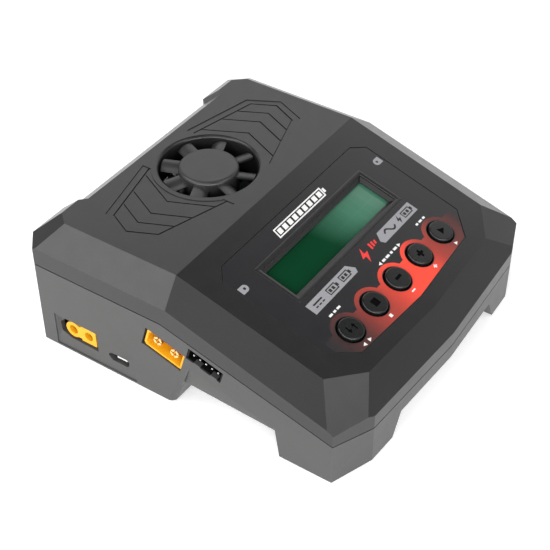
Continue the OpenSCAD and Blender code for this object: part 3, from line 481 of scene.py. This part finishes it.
def print_the_film():
    """All ink on the film. Pictograms stand where a maker would put words."""
    white = print_ink("white_ink", (0.78, 0.78, 0.77))
    grey = print_ink("grey_ink", (0.275, 0.275, 0.29))
    dark = print_ink("dark_ink", (0.012, 0.012, 0.013))
    red = print_ink("red_mark_ink", (0.75, 0.035, 0.03))
    keys = [panel_middle(k) for k in KEYS]
    window = panel_middle("lcd_glass")
    low, high = panel_box("overlay_panel")

    add_print("print_red_field", [red_field(keys)], red_ink())

    label_y = window.y - 14.05
    outer, left_tip, right_tip = 33.4, -6.7, 9.9
    add_print("print_labels", [[label_shape(-outer, left_tip, label_y)],
                               [label_shape(outer, right_tip, label_y)]], grey)
    left = steady_mark(-28.6, label_y) + battery_mark(-20.4, label_y) + battery_mark(-12.6, label_y)
    right = wave_mark(17.5, label_y) + bolt_mark(24, label_y, 0.58) + battery_mark(29, label_y)
    add_print("print_label_marks", left + right, dark, layer=1)

    bars = [[rectangle(5.4 + k * 1.5, label_y + 0.7, 0.9, 2.6 - k * 0.55, 0.5)] for k in range(3)]
    add_print("print_centre_mark", bolt_mark(0.6, label_y - 0.2, 1.0) + bars, red)
    add_print("print_title", gauge_mark(-0.3, window.y + 13.1), white)

    tags = socket_mark(low.x + 2.9, window.y + 7.1, 1) + socket_mark(high.x - 2.9, window.y + 7.0, -1)
    above = keys[0].y + 7.9
    captions = [[rectangle(keys[0].x + 0.2 + k * 2.3, above + 0.2, w, 0.8)]
                for k, w in enumerate((1.8, 1.3, 1.8))]
    captions += [[rectangle(keys[4].x - 3.4 + k * 2.3, above + 0.2, w, 0.8)]
                 for k, w in enumerate((1.3, 1.8, 1.3))]
    captions += [[rectangle(keys[2].x + 3.6 + k * 2.5, above, w, 0.9)]
                 for k, w in enumerate((1.7, 2.0, 1.2, 1.9))]
    captions += [pointer(keys[2].x + 1.2, above, -1), pointer(keys[3].x - 1.6, above, 1)]
    add_print("print_tags", tags, grey)
    add_print("print_captions", captions, white, layer=1)
    add_print("print_key_notes", key_notes(keys), white, layer=1)


def key_notes(keys):
    """A small mark under each key that repeats what is moulded into it."""
    select, stop, down, up, start = [(k.x, k.y - 6.75) for k in keys]
    notes = [pointer(select[0] - 1.5, select[1], -1), pointer(select[0] + 1.5, select[1], 1)]
    notes.append([rectangle(*stop, 1.3, 1.3)])
    notes.append([rectangle(*down, 2.0, 0.55)])
    notes.append([rectangle(*up, 0.5, 1.5)])
    notes.append([rectangle(up[0] - 0.62, up[1], 0.55, 0.5)])
    notes.append([rectangle(up[0] + 0.62, up[1], 0.55, 0.5)])
    notes.append(pointer(*start, 1))
    return notes


def fill_key_marks():
    """Black filling in the marks that are moulded into the key tops."""
    arrow = [(-0.35, -1.4), (0.35, -1.4), (0.35, 0.3), (1.1, 0.3), (0, 1.6), (-1.1, 0.3),
             (-0.35, 0.3)]
    up = shifted(arrow, 1.4, -0.3)
    down = shifted([(-x, -y) for x, y in arrow], -1.4, 0.3)
    bar = rectangle(0, 0, 3.2, 1.1)
    plus = [(-1.6, -0.55), (-0.55, -0.55), (-0.55, -1.6), (0.55, -1.6), (0.55, -0.55),
            (1.6, -0.55), (1.6, 0.55), (0.55, 0.55), (0.55, 1.6), (-0.55, 1.6), (-0.55, 0.55),
            (-1.6, 0.55)]
    play = [(-1.1, -1.6), (1.7, 0), (-1.1, 1.6)]
    marks = {"select": [up, down], "stop": [rectangle(0, 0, 3, 3)], "down": [bar], "up": [plus],
             "start": [play]}
    for key, outlines in marks.items():
        low, high = panel_box(f"key_{key}")
        middle = (low + high) / 2
        shapes = [[shifted(loop, middle.x, middle.y, 0.98)] for loop in outlines]
        mesh = plate_mesh(f"mark_{key}", shapes, high.z - 0.29, high.z - 0.14)
        add_piece(f"mark_{key}", mesh, PANEL, PAINTS["glyph"], f"{key}_key")


# ---------------------------------------------------------------- display surround
def window_bead():
    """The moulded bead around the display window, a rounded bar in four mitred lengths."""
    paint = PAINTS["shell"]
    window = panel_middle("lcd_glass")
    # profile of the bead: distance outside the window, and height over the film
    profile = [(1.35, -0.5), (1.4, -0.05), (1.6, 0.06), (2.9, 0.1), (3.15, 0.04), (3.25, -0.1),
               (3.3, -0.3)]
    half_w, half_h = 30.2, 6.4
    bm = bmesh.new()
    rings = []
    for out, height in profile:
        loop = rounded(window.x, window.y, 2 * (half_w + out), 2 * (half_h + out), 0.1 + out * 0.15)
        rings.append([bm.verts.new((x, y, height)) for x, y in loop])
    count = len(rings[0])
    for inner, outer in zip(rings, rings[1:] + rings[:1]):
        for k in range(count):
            n = (k + 1) % count
            bm.faces.new([inner[k], inner[n], outer[n], outer[k]])
    bmesh.ops.recalc_face_normals(bm, faces=bm.faces)
    for face in bm.faces:
        face.smooth = True
    mesh = bpy.data.meshes.new("window_bead")
    bm.to_mesh(mesh)
    bm.free()
    return add_piece("window_bead", mesh, PANEL, paint)


# ---------------------------------------------------------------- paints of the CAD nodes
PAINTS = {
    "shell": plastic("charcoal_abs", (0.0105, 0.0105, 0.011), 0.30, 0.4, 0.012,
                     (0.04, 0.04, 0.04)),
    "lower": plastic("charcoal_abs_lower", (0.043, 0.043, 0.0425), 0.40, 0.4, 0.015,
                     (0.09, 0.09, 0.09)),
    "fan": plastic("fan_nylon", (0.024, 0.024, 0.0245), 0.36, grain_mm=0.2),
    "fan_dark": plastic("fan_frame_nylon", (0.004, 0.004, 0.004), 0.6),
    "film": plastic("panel_film", (0.0105, 0.0105, 0.012), 0.30, 0.2, 0.004,
                    (0.04, 0.04, 0.04)),
    "key": plastic("key_gloss", (0.005, 0.0055, 0.0055), 0.26, 0.25, 0.004,
                   (0.02, 0.02, 0.02)),
    "glyph": plastic("key_glyph_black", (0.0004, 0.0004, 0.0004), 0.6, 0.25, 0.004,
                     (0.001, 0.001, 0.001), 0.05),
    "display": display_glass(),
    "yellow": plastic("socket_nylon", (0.76, 0.345, 0.008), 0.40, 0.25, 0.01,
                      (0.85, 0.5, 0.12), 0.3),
    "black": plastic("header_nylon", (0.0015, 0.0015, 0.0015), 0.5, 0.25, 0.01,
                     (0.004, 0.004, 0.004), 0.2),
    "white": plastic("tongue_plastic", (0.75, 0.75, 0.72), 0.4, 0.2, 0.005, (0.8, 0.8, 0.8)),
    "gold": metal("gold_plate", (0.90, 0.66, 0.28), 0.22),
    "tin": metal("tin_plate", (0.72, 0.72, 0.70), 0.28),
    "steel": metal("zinc_steel", (0.55, 0.55, 0.57), 0.32, (1, 1, 6)),
    "dark_steel": metal("blackened_steel", (0.03, 0.03, 0.032), 0.45, (1, 1, 6)),
    "heatsink": metal("extruded_aluminium", (0.62, 0.63, 0.65), 0.36, (1, 1, 0.05)),
    "board": circuit_board((0, 0, 0)),
    "panel_board": circuit_board((-SLOPE, 0, 0)),
    "chip": plastic("moulded_epoxy", (0.014, 0.014, 0.015), 0.5, 0.15, 0.01),
    "ferrite": plastic("sintered_ferrite", (0.045, 0.045, 0.05), 0.6, 0.5, 0.05),
    "core": plastic("core_powder_coat", (0.68, 0.60, 0.10), 0.5, 0.4, 0.04, (0.8, 0.75, 0.3)),
    "tape": wound("polyester_tape", (0.70, 0.42, 0.03), 3.2, "Z"),
    "copper": wound("enamelled_copper", (0.62, 0.20, 0.05), 0.8, "DIAGONAL"),
    "sleeve": plastic("capacitor_sleeve", (0.015, 0.02, 0.09), 0.25, 0.6, 0.005),
    "red_wire": plastic("red_silicone", (0.50, 0.012, 0.012), 0.45, 0.4, 0.01, (0.6, 0.1, 0.1)),
    "black_wire": plastic("black_silicone", (0.012, 0.012, 0.012), 0.45, 0.4, 0.01),
    "ribbon": wound("grey_ribbon", (0.26, 0.26, 0.28), 1.27, "X"),
    "rubber": plastic("pad_rubber", (0.014, 0.014, 0.014), 0.75, 0.3, 0.05),
}
NODE_PAINTS = {
    "shell": "top_shell",
    "lower": "bottom_shell",
    "fan": "fan_rotor",
    "fan_dark": "fan_frame",
    "film": "overlay_panel",
    "key": " ".join(KEYS),
    "display": "lcd_glass",
    "yellow": "output_socket_left output_socket_right dc_socket",
    "black": "balance_socket_left balance_socket_right ac_inlet lcd_frame",
    "white": "usb_tongue",
    "gold": "output_pins_left output_pins_right dc_contacts lcd_header_pins",
    "tin": "balance_socket_pins ac_inlet_pins",
    "steel": "fan_screws board_screws housing_screws",
    "dark_steel": "usb_shell",
    "heatsink": "heatsink",
    "board": "power_board",
    "panel_board": "main_board lcd_board",
    "chip": "board_chips buzzer tact_switches power_transistors plunger_select plunger_stop "
            "plunger_down plunger_up plunger_start",
    "ferrite": "transformer_core",
    "core": "choke_cores",
    "tape": "transformer_winding",
    "copper": "line_choke choke_coils fan_stator",
    "sleeve": "bulk_capacitor small_capacitors",
    "red_wire": "output_leads_red fan_leads",
    "black_wire": "output_leads_black",
    "ribbon": "link_cable",
    "rubber": "rubber_feet",
}
# width of the rounded edge on each node, in millimetres
EDGE_MM = {"top_shell": 0.14, "bottom_shell": 0.14, "fan_rotor": 0.12, "fan_frame": 0.2,
           "output_socket_left": 0.12, "output_socket_right": 0.12, "dc_socket": 0.2,
           "balance_socket_left": 0.06, "balance_socket_right": 0.06, "ac_inlet": 0.2,
           "usb_shell": 0.06, "usb_tongue": 0.08, "overlay_panel": 0.05}
DEFAULT_EDGE_MM = 0.06
# edges that turn by more than this many degrees are rounded
EDGE_ANGLE = 10


def round_edges(node):
    """Softens a CAD node's edges with modifiers, which leave its mesh alone."""
    width = EDGE_MM.get(node.name, DEFAULT_EDGE_MM) * MM
    weld = node.modifiers.new("join_faces", "WELD")
    weld.merge_threshold = 0.000001
    flat = node.modifiers.new("one_face_per_flat", "DECIMATE")
    flat.decimate_type = "DISSOLVE"
    flat.angle_limit = math.radians(0.4)
    bevel = node.modifiers.new("rounded_edges", "BEVEL")
    bevel.width = width
    bevel.segments = 2
    bevel.limit_method = "ANGLE"
    bevel.angle_limit = math.radians(EDGE_ANGLE)
    weighted = node.modifiers.new("flat_faces_look_flat", "WEIGHTED_NORMAL")
    weighted.weight = 100
    weighted.keep_sharp = True
    if "custom_normal" in node.data.attributes:
        node.data.attributes.remove(node.data.attributes["custom_normal"])
    for polygon in node.data.polygons:
        polygon.use_smooth = True


def paint_the_nodes():
    for paint, names in NODE_PAINTS.items():
        for name in names.split():
            node = NODES[name]
            node.data.materials.clear()
            node.data.materials.append(PAINTS[paint].material)
            round_edges(node)


# ---------------------------------------------------------------- stage, light and camera
# how far the floor lies under the rubber feet
FLOOR_GAP = 0.0002


def add_floor():
    """A pale round floor that turns up into a backdrop far behind the object."""
    # radius and height of each ring, in metres
    profile = [(0.5, 0), (4, 0), (12, 0), (15, 0.3), (17, 1.2), (18, 3), (18.3, 7)]
    steps = 64
    bm = bmesh.new()
    rings = [[bm.verts.new((x, y, height - FLOOR_GAP)) for x, y in arc(0, 0, radius, 0, 360, steps)[1:]]
             for radius, height in profile]
    bm.faces.new(rings[0])
    for inner, outer in zip(rings, rings[1:]):
        for k in range(steps):
            n = (k + 1) % steps
            bm.faces.new([inner[k], outer[k], outer[n], inner[n]])
    for face in bm.faces:
        face.smooth = True
    mesh = bpy.data.meshes.new("floor")
    bm.to_mesh(mesh)
    bm.free()
    floor = bpy.data.objects.new("floor", mesh)
    bpy.context.scene.collection.objects.link(floor)
    paint = Paint("pale_floor", (0.86, 0.86, 0.86), 0.7, Emission_Strength=0.42)
    paint.shader.inputs["Emission Color"].default_value = (1, 1, 1, 1)
    paint.tint((0.82, 0.82, 0.82), paint.remap(paint.noise(60, 2), 0.4, 0.7, 0.0, 0.4))
    floor.data.materials.append(paint.material)


LIGHT_DISTANCE = 1.1
LIGHT_AIM_HEIGHT = 0.03


def add_softbox(name, direction, size, radiance):
    """An area light that faces the object from a direction, with an even radiance."""
    light = bpy.data.lights.new(name, "AREA")
    light.shape = "RECTANGLE"
    light.size, light.size_y = size
    light.energy = radiance * math.pi * size[0] * size[1]
    lamp = bpy.data.objects.new(name, light)
    away = Vector(direction).normalized()
    lamp.location = away * LIGHT_DISTANCE + Vector((0, 0, LIGHT_AIM_HEIGHT))
    lamp.rotation_mode = "QUATERNION"
    lamp.rotation_quaternion = away.to_track_quat("Z", "Y")
    bpy.context.scene.collection.objects.link(lamp)


def add_lights():
    add_softbox("right_softbox", (0.80, 0.40, 0.67), (1.5, 0.5), 1.45)
    add_softbox("back_left_softbox", (-0.46, 0.56, 0.74), (0.7, 0.55), 4.0)
    add_softbox("left_fill", (-0.86, -0.20, 0.42), (1.5, 0.45), 5.3)
    add_softbox("front_left_fill", (-0.46, -0.80, 0.30), (0.9, 0.5), 3.8)
    add_softbox("front_top_softbox", (0.20, -0.61, 0.77), (0.5, 0.5), 3.2)
    add_softbox("left_top_softbox", (-0.38, -0.05, 0.92), (0.45, 0.5), 1.5)
    world = bpy.data.worlds.new("studio")
    world.use_nodes = True
    background = world.node_tree.nodes["Background"]
    background.inputs["Color"].default_value = (1, 1, 1, 1)
    background.inputs["Strength"].default_value = 0.10
    bpy.context.scene.world = world


def add_camera():
    """Looks down on the left front corner, as a product shot does."""
    camera = bpy.data.cameras.new("camera")
    camera.sensor_width = 36
    camera.lens = CAMERA_LENS
    camera.clip_start, camera.clip_end = 0.05, 50
    holder = bpy.data.objects.new("camera", camera)
    forward = Vector(CAMERA_FORWARD).normalized()
    holder.location = CAMERA_PLACE
    holder.rotation_mode = "QUATERNION"
    roll = Matrix.Rotation(math.radians(CAMERA_ROLL), 3, forward)
    look = forward.to_track_quat("-Z", "Y").to_matrix()
    holder.rotation_quaternion = (roll @ look).to_quaternion()
    bpy.context.scene.collection.objects.link(holder)
    bpy.context.scene.camera = holder


paint_the_nodes()
print_the_film()
fill_key_marks()
window_bead()
add_floor()
add_lights()
add_camera()
bpy.context.scene.view_settings.view_transform = "Standard"
